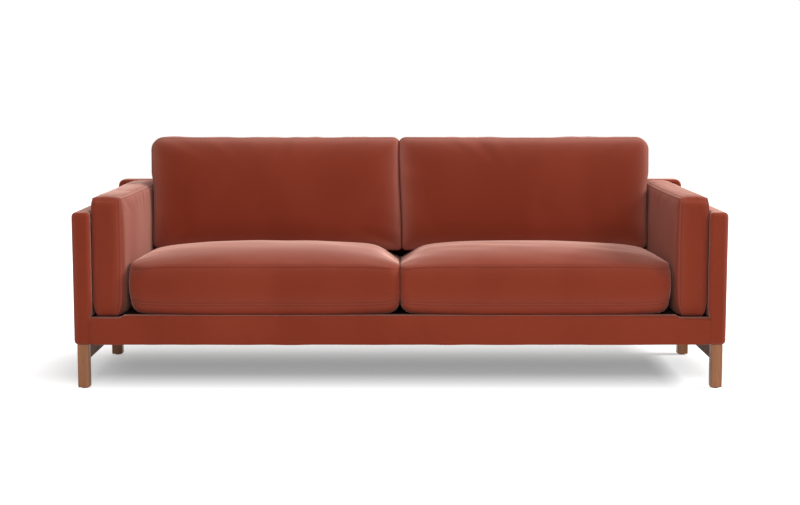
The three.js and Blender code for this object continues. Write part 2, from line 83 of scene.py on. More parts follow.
class Finish:
    """A named material with one Principled shader, whose even qualities are set directly."""

    def __init__(self, name, **qualities):
        self.material = bpy.data.materials.new(name)
        self.material.use_nodes = True
        self.tree = self.material.node_tree
        self.shader = self.tree.nodes["Principled BSDF"]
        for quality, value in qualities.items():
            socket = quality.replace("_", " ").title().replace("Ior", "IOR")
            self.feed(self.shader.inputs[socket], value)
        self.place = self.node("TexCoord", output="Object")

    def feed(self, socket, value):
        """Links a varying value to a socket, or sets the socket to a plain one."""
        if isinstance(value, Varying):
            self.tree.links.new(value.socket, socket)
        else:
            socket.default_value = value

    def node(self, kind, settings=(), sockets=(), output=0):
        """Adds a shader node: its settings first, then its sockets, and gives back one output."""
        made = self.tree.nodes.new("ShaderNode" + kind)
        for setting, value in dict(settings).items():
            setattr(made, setting, value)
        for socket, value in dict(sockets).items():
            self.feed(made.inputs[socket], value)
        return Varying(self, made.outputs[output])

    def stretched(self, *scale):
        """The place scaled along X, Y and Z. A pattern is drawn out along an axis with a small scale."""
        return self.node("Mapping", (), {"Vector": self.place, "Scale": scale})

    def noise(self, scale, detail, place=None, distortion=0.0):
        sockets = {"Vector": place or self.place, "Scale": scale, "Detail": detail}
        return self.node("TexNoise", (), {**sockets, "Distortion": distortion})

    def mix(self, share, first, second):
        """The first colour where the share is 0, and the second where it is 1. A Mix node for colours
        has its factor at socket 0, its two ends at 6 and 7, and its result at output 2."""
        ends = (first, second)
        colours = [colour if isinstance(colour, Varying) else (*colour, 1) for colour in ends]
        sockets = {0: share, 6: colours[0], 7: colours[1]}
        return self.node("Mix", {"data_type": "RGBA"}, sockets, output=2)

    def bump(self, height, distance, strength=1.0):
        sockets = {"Height": height, "Distance": distance, "Strength": strength}
        return self.node("Bump", (), sockets)

    def show(self, colour, roughness=None, normal=None):
        """Feeds the shader what varies over the surface."""
        shown = {"Base Color": colour, "Roughness": roughness, "Normal": normal}
        for socket, value in shown.items():
            if value is not None:
                self.feed(self.shader.inputs[socket], value)
        return self


def wood(name, along, pale, dark, roughness, gloss=0.25):
    """Grain from noise drawn out along one axis: broad figure, fine fibres and short dark pores."""
    finish = Finish(name, specular_ior_level=gloss)
    squeeze = [1.0, 1.0, 1.0]
    squeeze[along] = 0.05
    grain = finish.stretched(*squeeze)
    figure = finish.noise(34, 3, grain, 0.6).between(0.3, 0.7)
    fibre = finish.noise(420, 3, grain)
    squeeze[along] = 0.03
    pores = finish.noise(1100, 1, finish.stretched(*squeeze)).between(0.62, 0.72)
    tone = finish.mix(figure * 0.65 + fibre * 0.35, dark, pale)
    tone = finish.mix(pores * 0.45, tone, [value * 0.35 for value in dark])
    relief = finish.bump(fibre - pores * 0.6, 0.0003, 0.5)
    return finish.show(tone, roughness + fibre * 0.12, relief)


def dress(finish, *names):
    """Gives pieces of the frame a finish."""
    for name in names:
        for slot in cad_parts[name].material_slots:
            slot.material = finish.material


sides = ("left", "right")
walnut_pale = (0.42, 0.18, 0.08)
walnut_dark = (0.23, 0.088, 0.038)
# The stretchers are darker than the legs as painted shade: they stand in the shade under the arms.
walnut_painted_shade = (0.1, 0.035, 0.016)
leg_walnut = wood("walnut_leg", 2, walnut_pale, walnut_dark, roughness=0.36)
shaded_stretcher_walnut = wood("walnut_stretcher_painted_shade", 1, walnut_dark, walnut_painted_shade, roughness=0.5, gloss=0.08)
for side in sides:
    dress(leg_walnut, f"leg_front_{side}", f"leg_rear_{side}")
    dress(shaded_stretcher_walnut, f"side_stretcher_{side}")


# Glides, studs and bolts
# A moulded glide is under each leg. A zinc-plated stud holds each leg to the arm core, and hexagon
# bolts hold the arm units and the back unit to the seat box.
glide_nylon = Finish("glide_nylon")
scuff = glide_nylon.noise(160, 3)
glide_tone = glide_nylon.mix(scuff, (0.02, 0.013, 0.009), (0.05, 0.036, 0.028))
glide_nylon.show(glide_tone, 0.45 + scuff * 0.2)
plated_steel = Finish("plated_steel", metallic=1.0)
dulled = plated_steel.noise(90, 4)
plated_tone = plated_steel.mix(dulled, (0.4, 0.41, 0.42), (0.62, 0.62, 0.6))
plated_steel.show(plated_tone, 0.25 + dulled * 0.25)
for side in sides:
    dress(glide_nylon, f"glide_front_{side}", f"glide_rear_{side}")
    dress(plated_steel, f"leg_stud_front_{side}", f"leg_stud_rear_{side}")
    dress(plated_steel, f"arm_bolt_1_{side}", f"arm_bolt_2_{side}", f"back_bolt_{side}")


# Seat box and webbing
# Pine rails tenoned together with glued corner blocks. Ribbed elastic webbing runs from the front
# rail to the rear rail, and two cross straps weave through it.
pine_tones = ((0.66, 0.46, 0.24), (0.47, 0.29, 0.13))
pine = [wood(f"pine_along_{'xyz'[along]}", along, *pine_tones, roughness=0.6) for along in range(3)]
dress(pine[0], "front_rail", "rear_rail")
dress(pine[1], "centre_rail", "side_rail_left", "side_rail_right")
dress(pine[2], *(f"corner_block_{end}_{side}" for end in ("front", "rear") for side in sides))


rib_scale = 105  # the wave's scale at which ribs are 3 mm apart


def ribbed_elastic(name, along):
    """Ribs across the strap from a sine of the place along it, with a fine noise for the yarn."""
    finish = Finish(name, roughness=0.85)
    sockets = {"Vector": finish.place, "Scale": rib_scale}
    ribs = finish.node("TexWave", {"bands_direction": "XY"[along]}, sockets)
    yarn = finish.noise(900, 2)
    tone = finish.mix(ribs * 0.6 + yarn * 0.4, (0.012, 0.011, 0.01), (0.06, 0.052, 0.046))
    return finish.show(tone, None, finish.bump(ribs, 0.0006))


dress(ribbed_elastic("webbing_along_y", 1), *(f"webbing_run_{number}" for number in range(1, 7)))
dress(ribbed_elastic("webbing_along_x", 0), "webbing_cross_1", "webbing_cross_2")


# Seat deck and dust cover
# The deck is a woven cloth stretched over the webbing and stapled to the rails. It sags a little in
# the middle and gives under the arm cushions. The dust cover is a thin black felt under the box.
def soft_step(value, low, high):
    """0 below low and 1 above high, with a smooth step between them."""
    share = np.clip((value - low) / (high - low), 0, 1)
    return share * share * (3 - 2 * share)


def grid_quads(rows, columns):
    """The quads of a grid of points stored row by row."""
    index = np.arange(rows * columns).reshape(rows, columns)
    return np.stack([index[:-1, :-1], index[1:, :-1], index[1:, 1:], index[:-1, 1:]], -1).reshape(-1, 4)


def shell(outer, inner, quads):
    """A closed wall: the outer quads, the same quads turned round on the inner points, and a rim
    along every edge that only one quad uses."""
    edges = np.concatenate([np.stack([quads[:, i], quads[:, (i + 1) % 4]], -1) for i in range(4)])
    _, first, uses = np.unique(np.sort(edges, 1), axis=0, return_index=True, return_counts=True)
    start, end = edges[first[uses == 1]].T
    count = len(outer)
    rim = np.stack([end, start, start + count, end + count], -1)
    return np.concatenate([outer, inner]), np.concatenate([quads, quads[:, ::-1] + count, rim])


def new_piece(name, points, quads, finish, slot, body="frame", caps=(), **marks):
    """A mesh object at the origin with its place in its points, smooth, dressed and riding on a
    body. Points that no quad uses are left out, and caps are faces with more corners. Each mark is
    a value for each point, which its finish reads by name."""
    used, quads = np.unique(quads, return_inverse=True)
    mesh = bpy.data.meshes.new(name)
    mesh.from_pydata(points[used].tolist(), [], [*quads.reshape(-1, 4).tolist(), *caps])
    for mark, values in marks.items():
        layer = mesh.attributes.new(mark, "FLOAT", "POINT")
        layer.data.foreach_set("value", np.asarray(values, np.float32)[used])
    mesh.polygons.foreach_set("use_smooth", np.ones(len(mesh.polygons), bool))
    mesh.materials.append(finish.material)
    piece = bpy.data.objects.new(name, mesh)
    bpy.context.scene.collection.objects.link(piece)
    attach(piece, body)
    return piece


def woven(name, dark, pale, thread):
    """A plain weave: a wave along X and one along Y, each about two threads long. The cloth is pale
    and raised where both are high or both are low, like the squares of one colour on a chessboard."""
    finish = Finish(name, roughness=0.92, specular_ior_level=0.1)
    sockets = {"Vector": finish.place, "Scale": 1 / thread / 6.283}
    warp = finish.node("TexWave", {"bands_direction": "X"}, sockets)
    weft = finish.node("TexWave", {"bands_direction": "Y"}, sockets)
    crossing = warp * weft + (1 - warp) * (1 - weft)
    slub = finish.noise(70, 3)
    tone = finish.mix(crossing * 0.5 + slub * 0.5, dark, pale)
    return finish.show(tone, None, finish.bump(crossing, thread * 0.3))


def stretched_cloth(name, low, high, top, thickness, sag, finish, slot):
    """A grid in X and Y. Its height is top(x, y) less a sag that is 0 at the edges and greatest in
    the middle, and its underside is one thickness lower."""
    u, v = np.meshgrid(np.linspace(-1, 1, 181), np.linspace(-1, 1, 61), indexing="ij")
    x = (low.x + high.x + u * (high.x - low.x)) / 2
    y = (low.y + high.y + v * (high.y - low.y)) / 2
    z = top(x, y) - sag * (1 - u**4) * (1 - v**4)
    upper = np.stack([x, y, z], -1).reshape(-1, 3)
    points, faces = shell(upper, upper - [0, 0, thickness], grid_quads(*u.shape))
    piece = new_piece(name, points, faces, finish, slot)
    return piece


arm_cushion_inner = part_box("arm_cushion_right")[0].x
arm_sink = 0.006  # how far an arm cushion presses into the deck
arm_sink_edge = (0.004, 0.022)  # how far behind its inner face the hollow starts, and is full


def under_arms(x):
    """1 under the arm cushions and 0 between them."""
    return soft_step(np.abs(x), *(arm_cushion_inner + edge for edge in arm_sink_edge))


deck_low, deck_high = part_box("seat_deck")
# Its near-black tone is partly the cloth's own and partly painted shade for the gaps between cushions.
deck_cloth = woven("deck_cloth", (0.007, 0.003, 0.0025), (0.02, 0.008, 0.007), thread=0.0012)
deck = stretched_cloth(
    "deck_cloth", deck_low, deck_high, lambda x, y: deck_high.z - arm_sink * under_arms(x),
    thickness=0.0016, sag=0.0006, finish=deck_cloth, slot="deck_cloth",
)
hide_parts("seat_deck")

dust_low, dust_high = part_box("dust_cover")
dust_felt = Finish("dust_felt", roughness=0.95)
matted = dust_felt.noise(260, 5)
dust_tone = dust_felt.mix(matted, (0.006, 0.006, 0.006), (0.028, 0.027, 0.027))
dust_felt.show(dust_tone, None, dust_felt.bump(matted, 0.0005))
dust_cover = stretched_cloth(
    "dust_felt", dust_low, dust_high, lambda x, y: dust_high.z + 0 * x,
    thickness=0.0008, sag=0.004, finish=dust_felt, slot="dust_cloth",
)
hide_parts("dust_cover")


# Front rail cover
# Velvet over wadding, stapled under the rail and behind it. It is flush with the fronts of the
# arms, and a plain seam closes it against each arm. The arm cushions press its top edge down.
# The pale tone of the velvet's sheen, for the shader's own sheen and for the sheen painted into its
# colour.
sheen_tone = (1.0, 0.6, 0.5)


def velvet_finish():
    """Short nap: deep colour seen face on. A pale sheen is painted into the colour where the surface is
    seen edge on and along the seams, and held back where painted shade is marked. Brushed patches
    and single tufts vary its depth, and the grooves of the seams are darkened as painted shade."""
    finish = Finish(
        "rust_velvet", roughness=0.85, specular_ior_level=0.1,
        sheen_weight=0.22, sheen_roughness=0.42, sheen_tint=(*sheen_tone, 1),
    )
    brushed = finish.noise(3.2, 3, finish.stretched(1.0, 1.0, 0.6), 0.8)
    tufts = finish.noise(700, 2)
    drawn = finish.node("Attribute", {"attribute_name": "drawn"}, output="Fac")
    depth = brushed.between(0.3, 0.7) * 0.55 + tufts * 0.45
    tone = finish.mix(depth, (0.23, 0.034, 0.0145), (0.29, 0.047, 0.022))
    edge_on = finish.node("LayerWeight", (), {"Blend": 0.5}, output="Facing")
    seam_sheen = finish.node("Attribute", {"attribute_name": "seam_sheen"}, output="Fac")
    painted_shade = finish.node("Attribute", {"attribute_name": "painted_shade"}, output="Fac")
    # Painted sheen: the colour turns pale where the surface is seen edge on, less where painted shade is
    # marked, and along the seams.
    painted_sheen = (edge_on ** 2.0 * 0.07 + edge_on ** 11.0 * 1.25) * (1 - painted_shade) + seam_sheen * 0.3
    tone = finish.mix(painted_sheen, tone, sheen_tone)
    # Painted shade: the grooves of the seams are darkened.
    tone = finish.mix(drawn * 0.35, tone, (0.07, 0.009, 0.006))
    return finish.show(tone, None, finish.bump(tufts, 0.0005, 0.5))


velvet = velvet_finish()


def rounded_outline(corners, radii, step):
    """A closed outline through anticlockwise corners, each rounded by an arc of its own radius, with
    its points about a step apart. An arc's centre lies on the line that halves its corner."""
    corners = np.array(corners, float)
    outline = []
    for i, (corner, radius) in enumerate(zip(corners, radii)):
        before = corners[i - 1] - corner
        after = corners[(i + 1) % len(corners)] - corner
        before, after = before / np.linalg.norm(before), after / np.linalg.norm(after)
        middle = (before + after) / np.linalg.norm(before + after)
        half_angle = np.arccos(np.clip(before @ after, -1, 1)) / 2
        convex = before[0] * after[1] - before[1] * after[0] < 0
        centre = corner + middle * radius / np.sin(half_angle)
        turn = np.pi / 2 - half_angle
        angles = np.linspace(-turn, turn, max(3, int(2 * turn * radius / step)))
        base = np.arctan2(*(-middle)[::-1])
        angles = base + (angles if convex else -angles)
        outline.append(centre + radius * np.stack([np.cos(angles), np.sin(angles)], -1))
    outline = np.concatenate(outline)
    following = np.roll(outline, -1, 0)
    counts = np.maximum(1, (np.linalg.norm(following - outline, axis=1) / step).astype(int))
    runs = [np.linspace(a, b, n, endpoint=False) for a, b, n in zip(outline, following, counts)]
    return np.concatenate(runs)


def stations(length, fine, coarse):
    """Places from -1 to 1 along a length. Its cells are fine at the ends, and each next one is 1.2
    times as long until it is coarse."""
    steps = [fine]
    while 2 * sum(steps) < length:
        steps.append(min(steps[-1] * 1.2, coarse))
    places = np.cumsum([0, *steps, *steps[::-1]])
    return 2 * places / places[-1] - 1


def waves(places, shortest, longest, count, seed):
    """Soft random unevenness, from about -1 to 1: a sum of count plane waves through the places,
    each with its own direction, phase and length."""
    dice = np.random.default_rng(seed)
    directions = dice.normal(size=(count, places.shape[-1]))
    directions /= np.linalg.norm(directions, axis=1)[:, None]
    lengths = dice.uniform(shortest, longest, count)
    phases = dice.uniform(0, 2 * np.pi, count)
    turns = 2 * np.pi * (places @ (directions / lengths[:, None]).T) + phases
    return np.cos(turns).sum(-1) / np.sqrt(count)


clearance = 0.0003  # between pieces that lie on each other
rail_low, rail_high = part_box("front_rail_cover")
rail_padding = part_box("front_rail")[0].y - rail_low.y - clearance
rail_pad_top = 0.008  # the thickness of the padding on top of the rail
rail_sink = arm_sink + 0.0025  # how far that padding is pressed down under an arm cushion
rail_section = rounded_outline(
    [
        (rail_low.y, rail_low.z), (rail_low.y + rail_padding, rail_low.z),
        (rail_low.y + rail_padding, rail_high.z - rail_pad_top),
        (rail_high.y, rail_high.z - rail_pad_top),
        (rail_high.y, rail_high.z), (rail_low.y, rail_high.z),
    ],
    radii=[0.007, 0.001, 0.002, 0.001, 0.003, 0.011],
    step=0.002,
)
rail_x = stations(rail_high.x - rail_low.x, 0.0008, 0.009) * rail_high.x
along, x = np.meshgrid(np.arange(len(rail_section)), rail_x, indexing="ij")
y, z = rail_section[along].transpose(2, 0, 1)
tangent = np.roll(rail_section, -1, 0) - np.roll(rail_section, 1, 0)
normal = np.stack([tangent[:, 1], -tangent[:, 0]], -1) / np.linalg.norm(tangent, axis=1)[:, None]
outside = soft_step(rail_low.y + rail_padding - y, 0, 0.004)
to_end = rail_high.x - np.abs(x)
seam_round = 0.0009  # the radius by which the cover turns into the seam against an arm
into_seam = np.clip(seam_round - to_end, 0, seam_round)
turned_in = seam_round - np.sqrt(seam_round**2 - into_seam**2)
full = 0.0014 * np.sin(np.pi * np.clip((z - rail_low.z) / (rail_high.z - rail_low.z), 0, 1))
places = np.stack([x, y, z], -1)
uneven = 0.0006 * waves(places, 0.06, 0.25, count=24, seed=11) * soft_step(to_end, 0, 0.02)
gathers = np.cos(2 * np.pi * z / 0.023) * np.exp(-to_end / 0.012) * soft_step(to_end, 0, 0.006)
out = outside * (full + uneven + 0.0011 * gathers) - turned_in
y = y + out * normal[along, 0]
z = z + out * normal[along, 1]
z = z - rail_sink * under_arms(x) * soft_step(z, rail_high.z - 0.03, rail_high.z)
points = np.stack([x, y, z], -1).transpose(1, 0, 2).reshape(-1, 3)
ring = len(rail_section)
loop = np.arange(ring)
around = np.stack([loop, np.roll(loop, -1), np.roll(loop, -1) + ring, loop + ring], -1)
walls = (around[None] + ring * np.arange(len(rail_x) - 1)[:, None, None]).reshape(-1, 4)
ends = [loop[::-1].tolist(), (loop + ring * (len(rail_x) - 1)).tolist()]
# Painted shade in the seam where the cover meets each arm.
drawn = 0.3 * np.exp(-(to_end.T.ravel() / 0.002) ** 2)
rail_cover = new_piece("front_rail_velvet", points, walls, velvet, "velvet", caps=ends, drawn=drawn)
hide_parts("front_rail_cover")


# Arm units
# A plywood core with windows is wrapped in foam, and velvet is pulled over it and turned under. The
# panels are seamed to a strip that runs up the front and along the top.
def box_skin(*places):
    """Every point on the skin of a box lattice with the given places, from -1 to 1, along its three
    axes, and its quads facing outwards."""
    grid = np.stack(np.meshgrid(*places, indexing="ij"), -1)
    skin = (np.abs(grid) == 1).any(-1)
    index = np.full(skin.shape, -1)
    index[skin] = np.arange(skin.sum())
    quads = []
    for axis in range(3):
        for end in (0, -1):
            flat = np.take(index, end, axis)
            if (end == 0) != (axis == 1):
                flat = flat.T
            quads.append(np.stack([flat[:-1, :-1], flat[1:, :-1], flat[1:, 1:], flat[:-1, 1:]], -1))
    return grid[skin], np.concatenate([some.reshape(-1, 4) for some in quads])


def spread_over(skin, half_a, half_b, corner, push=0.0):
    """Where the lattice's u and v lie over a rectangle with rounded corners, pushed out at its
    outline. Over a corner's square, p and q from 0 to 1 move to p * sqrt(1 - q * q / 2) and
    q * sqrt(1 - p * p / 2), which is a quarter of a disc. Also gives the way out of the outline."""
    half = np.stack([half_a + 0 * skin[:, 0], half_b + 0 * skin[:, 0]], -1)
    corner = np.reshape(corner, (-1, 1))
    reach = np.maximum(np.abs(skin[:, :2]).max(1), 1e-9)[:, None]
    places = []
    for plane in (skin[:, :2] * half, skin[:, :2] / reach * half):
        inner = np.clip(plane, corner - half, half - corner)
        square = (plane - inner) / corner
        places.append((inner, square * np.sqrt(1 - square[:, ::-1] ** 2 / 2)))
    (inner, disc), (_, outwards) = places
    return inner + disc * corner + outwards * np.reshape(push, (-1, 1)) * reach**4, outwards


def padded_slab(skin, half, corner, edge):
    """A slab with rounded corners in its outline and rounded edges to both faces. Across its wall,
    the third place runs round one edge, straight over, and round the other edge."""
    wall = np.abs(skin[:, 2])
    straight = (half[2] - edge) / (half[2] - edge + edge * np.pi / 2)
    turn = np.clip((wall - straight) / (1 - straight), 0, 1) * np.pi / 2
    inset = edge * (1 - np.cos(turn))
    rounded = np.maximum(corner - inset, 0.0004)
    plane, _ = spread_over(skin, half[0] - inset, half[1] - inset, rounded)
    through = np.minimum(wall / straight, 1) * (half[2] - edge) + edge * np.sin(turn)
    return np.column_stack([plane, np.sign(skin[:, 2]) * through])


def to_panel_seam(skin, half, edge):
    """How far each point of a padded slab lies from the seam round its nearer panel."""
    wall = np.abs(skin[:, 2])
    on_panel = np.min((1 - np.abs(skin[:, :2])) * half[:2], axis=1)
    on_wall = (1 - wall) * (half[2] - edge + edge * np.pi / 2)
    return np.where(wall == 1, on_panel, on_wall)


def drawn_in(skin, half):
    """1 at the seams round the panels of a padded unit and 0 away from them."""
    return np.exp(-(to_panel_seam(skin, half, edge_round) / cover_seam_width) ** 2)


rake = np.tan(np.radians(8))
cover_thickness = 0.0024
foam_inset = 0.0157  # from the outside of a cover to the inside of its foam
edge_round = 0.013
sharp_edge = 0.0016  # where the front rail's cover is seamed to an arm
least_round = 0.0006  # the smallest radius of an inner form
cover_seam_depth = 0.0013
cover_seam_width = 0.0022
arm_front_corner = 0.017
arm_rear_corner = 0.003
front_swell = 0.0055  # how far an arm's padding swells inwards next to its front
arm_low, arm_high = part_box("arm_cover_right")
core_low, core_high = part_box("arm_core_right")
back_low, back_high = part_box("back_cover")
arm_length = back_low.y - arm_low.y
arm_half = np.array([arm_length, arm_high.z - arm_low.z, arm_high.x - arm_low.x]) / 2
arm_middle = np.array([arm_low.x + arm_high.x, 2 * arm_low.y + arm_length, arm_low.z + arm_high.z]) / 2
arm_skin, arm_faces = box_skin(
    stations(2 * arm_half[0], 0.0012, 0.012),
    stations(2 * arm_half[1], 0.0012, 0.012),
    stations(2 * arm_half[2], 0.0009, 0.0026),
)
rail_top = rail_high.z


def arm_form(inset, details=0.0):
    """The arm unit's outer form moved inwards by an inset, with X through it. Its rear end follows
    the raked back. Where the rail meets it, its inner front edge is sharp. Details are the swell of
    its padding and its drawn-in seams. Also gives how much each point is drawn in."""
    half = arm_half - inset
    corner = np.where(arm_skin[:, 0] < 0, arm_front_corner, arm_rear_corner) - inset
    soft, sharp = (
        padded_slab(arm_skin, half, np.maximum(corner, least_round), max(edge - inset, least_round))
        for edge in (edge_round, sharp_edge)
    )
    front, height = soft[:, 0] + arm_half[0], soft[:, 1] + arm_middle[2]
    low = 1 - soft_step(height, rail_top - 0.002, rail_top + 0.014)
    joined = low * (1 - soft_step(front, 0.03, 0.06)) * (arm_skin[:, 2] < 0.3)
    form = soft + (sharp - soft) * joined[:, None]
    share = (form[:, 0] + arm_half[0]) / (2 * arm_half[0])
    panel = np.prod(soft_step(1 - np.abs(arm_skin[:, :2]), 0, 0.4), axis=1)
    at_front = (1 - soft_step(front, 0.02, 0.055)) * soft_step(height, rail_top, rail_top + 0.03)
    form[:, 2] -= front_swell * at_front * (arm_skin[:, 2] < 0) * details
    outer = np.clip(arm_skin[:, 2], 0, 1)
    fullness = 0.0035 + 0.0009 * waves(form, 0.15, 0.5, count=16, seed=21)
    form[:, 2] += outer * panel * fullness * details
    seam = drawn_in(arm_skin, arm_half) * (1 - joined)
    form[:, 2] -= np.sign(arm_skin[:, 2]) * cover_seam_depth * seam * details
    y = form[:, 0] + arm_middle[1] + rake * (form[:, 1] + arm_half[1]) * share
    return np.column_stack([form[:, 2] + arm_middle[0], y, form[:, 1] + arm_middle[2]]), seam


def turned_under(faces, skin, plain, opening):
    """Leaves out the faces below that are over the opening for what is inside."""
    middle = np.abs(plain[faces].mean(1))
    below = (skin[faces][:, :, 1] == -1).all(1)
    return faces[~(below & (middle[:, 0] < opening[0]) & (middle[:, 2] < opening[1]))]


def both_sides(name, points, faces, finish, slot, **marks):
    """A piece's mirror image on the sofa's left, with its faces turned, and itself on the right."""
    left = new_piece(f"{name}_left", points * [-1, 1, 1], faces[:, ::-1], finish, slot, **marks)
    right = new_piece(f"{name}_right", points, faces, finish, slot, **marks)
    return left, right


foam = Finish("cut_foam", roughness=0.95)
cells = foam.node("TexVoronoi", (), {"Vector": foam.place, "Scale": 700})
foam_tone = foam.mix(cells, (0.84, 0.76, 0.52), (0.7, 0.6, 0.36))
foam.show(foam_tone, None, foam.bump(cells, 0.0006))
arm_plain = padded_slab(arm_skin, arm_half, edge_round, edge_round)
arm_opening = (arm_half[0] - foam_inset, (core_high.x - core_low.x) / 2 + clearance)
arm_faces = turned_under(arm_faces, arm_skin, arm_plain, arm_opening)
arm_outer, arm_seam = arm_form(0, details=1.0)
points, faces = shell(arm_outer, arm_form(cover_thickness, details=1.0)[0], arm_faces)
# Painted sheen along the seams on the outer part of the cover.
arm_seam_sheen = np.exp(-to_panel_seam(arm_skin, arm_half, edge_round) / 0.008)
arm_seam_sheen = 0.7 * (arm_skin[:, 2] > 0.3) * arm_seam_sheen
arm_marks = {"drawn": np.tile(arm_seam, 2), "seam_sheen": np.tile(arm_seam_sheen, 2)}
arm_covers = both_sides("arm_velvet", points, faces, velvet, "velvet", **arm_marks)
points, faces = shell(arm_form(cover_thickness + clearance)[0], arm_form(foam_inset)[0], arm_faces)
arm_foams = both_sides("arm_wadding", points, faces, foam, "foam")
for side, cover, wadding in zip(sides, arm_covers, arm_foams):
    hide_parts(f"arm_cover_{side}")
    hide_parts(f"arm_foam_{side}")

plywood = wood("plywood", 1, (0.72, 0.53, 0.31), (0.55, 0.37, 0.19), roughness=0.6)
dress(plywood, "arm_core_left", "arm_core_right")


# Back unit
# A timber ladder frame wrapped in foam under velvet, leaning back by eight degrees. Its panels are
# seamed to a strip along the top and down both ends.
back_height = back_high.z - back_low.z
back_depth = back_high.y - back_low.y - rake * back_height
back_half = np.array([(back_high.x - back_low.x) / 2, back_height / 2, back_depth / 2])
back_skin, back_faces = box_skin(
    stations(2 * back_half[0], 0.0012, 0.014),
    stations(2 * back_half[1], 0.0012, 0.014),
    stations(2 * back_half[2], 0.0009, 0.003),
)
back_corner = 0.024


def lean(points):
    """Leans points back about the frame's lower edge, as far as the back unit leans."""
    x, y, z = points.T
    return np.column_stack([x, y + rake * (z - back_low.z), z])


def back_form(inset, details=0.0):
    """The back unit's outer form moved inwards by an inset, with Y through it. Details and what it
    gives are as for an arm unit."""
    corner, edge = (max(radius - inset, least_round) for radius in (back_corner, edge_round))
    form = padded_slab(back_skin, back_half - inset, corner, edge)
    panel = np.prod(soft_step(1 - np.abs(back_skin[:, :2]), 0, 0.3), axis=1)
    rear = np.clip(back_skin[:, 2], 0, 1)
    fullness = 0.004 + 0.001 * waves(form, 0.2, 0.7, count=16, seed=31)
    form[:, 2] += rear * panel * fullness * details
    seam = drawn_in(back_skin, back_half)
    form[:, 2] -= np.sign(back_skin[:, 2]) * cover_seam_depth * seam * details
    y = form[:, 2] + back_low.y + back_half[2]
    return lean(np.column_stack([-form[:, 0], y, form[:, 1] + back_low.z + back_half[1]])), seam


back_plain = padded_slab(back_skin, back_half, edge_round, edge_round)
back_opening = (back_half[0] - foam_inset, back_half[2] - foam_inset)
back_faces = turned_under(back_faces, back_skin, back_plain, back_opening)
back_outer, back_seam = back_form(0, details=1.0)
points, faces = shell(back_outer, back_form(cover_thickness, details=1.0)[0], back_faces)
back_cover = new_piece("back_velvet", points, faces, velvet, "velvet", drawn=np.tile(back_seam, 2))
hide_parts("back_cover")
points, faces = shell(back_form(cover_thickness + clearance)[0], back_form(foam_inset)[0], back_faces)
back_foam = new_piece("back_wadding", points, faces, foam, "foam")
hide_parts("back_foam")
dress(pine[0], "back_bottom_rail", "back_top_rail")
dress(pine[2], "back_post_left", "back_post_centre", "back_post_right")


# Back cushions
# Loose box cushions: foam in a wrap of fibre, with crowned panels seamed to a boxing strip. They
# stand on the rear of the seat cushions and lean on the back unit.
crown_power, crown_fall = 2.6, 0.62
tuck_power = 8  # the higher it is, the nearer to a corner its tuck stays
corner_reach = 0.1  # how far a corner's pinch is felt along a side
seam_draw = 0.003  # how far the seams are drawn in halfway along a side
seam_allowance = 0.0043  # from a seam to its groove
ridge_height, ridge_width = 0.0007, 0.0022
groove_depth, groove_width = 0.0012, 0.0015
pucker_reach = 0.02  # from a seam to where its puckers are deepest
swell_height, swell_reach = 0.0009, 0.05
seam_turn = 0.004  # how far from a seam the relief still leans to the other side of it


def rise(share):
    """A crown's height, from 0 at a seam to 1 in the middle, steep at the seam and flat on top."""
    return (1 - np.minimum(np.abs(share), 1) ** crown_power) ** crown_fall


